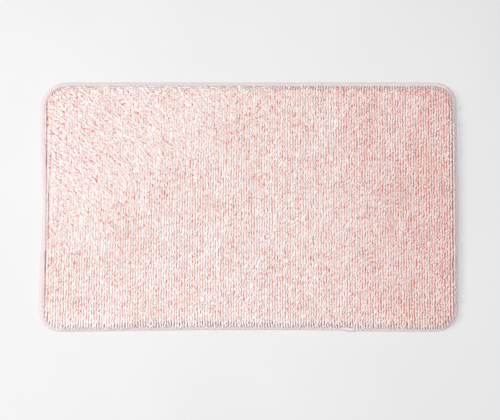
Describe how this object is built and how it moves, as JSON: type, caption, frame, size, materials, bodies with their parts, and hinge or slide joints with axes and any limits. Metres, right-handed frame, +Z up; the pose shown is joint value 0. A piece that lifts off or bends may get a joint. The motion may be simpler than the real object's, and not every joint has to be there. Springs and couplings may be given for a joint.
{
  "type": "bath mat",
  "caption": "Rectangular tufted bath mat with rounded corners, a dense short pile, a stitched overlock edge and a non-slip rubber backing.",
  "frame": {"origin": "on the floor, under the middle of the mat", "axes": "+X along the mat's long side, +Y across it towards the back edge, +Z up out of the pile"},
  "size_m": [0.75, 0.447, 0.0158],
  "materials": {
    "pile_yarn": "matte",
    "overlock_thread": "satin",
    "scrim": "matte",
    "latex": "matte",
    "non_slip_rubber": "satin"
  },
  "bodies": {
    "root": {"non_slip_backing": "non_slip_rubber", "latex_coat": "latex", "woven_scrim": "scrim", "overlock_lower_looper_thread": "overlock_thread", "overlock_upper_looper_thread": "overlock_thread", "overlock_needle_thread": "overlock_thread", "overlock_join": "overlock_thread", "pile_band_01": "pile_yarn", "pile_band_02": "pile_yarn", "pile_band_03": "pile_yarn", "pile_band_04": "pile_yarn", "pile_band_05": "pile_yarn", "pile_band_06": "pile_yarn", "pile_band_07": "pile_yarn", "pile_band_08": "pile_yarn", "pile_band_09": "pile_yarn", "pile_band_10": "pile_yarn", "pile_band_11": "pile_yarn", "pile_band_12": "pile_yarn", "pile_band_13": "pile_yarn", "pile_band_14": "pile_yarn", "pile_band_15": "pile_yarn", "pile_band_16": "pile_yarn"}
  },
  "joints": []
}
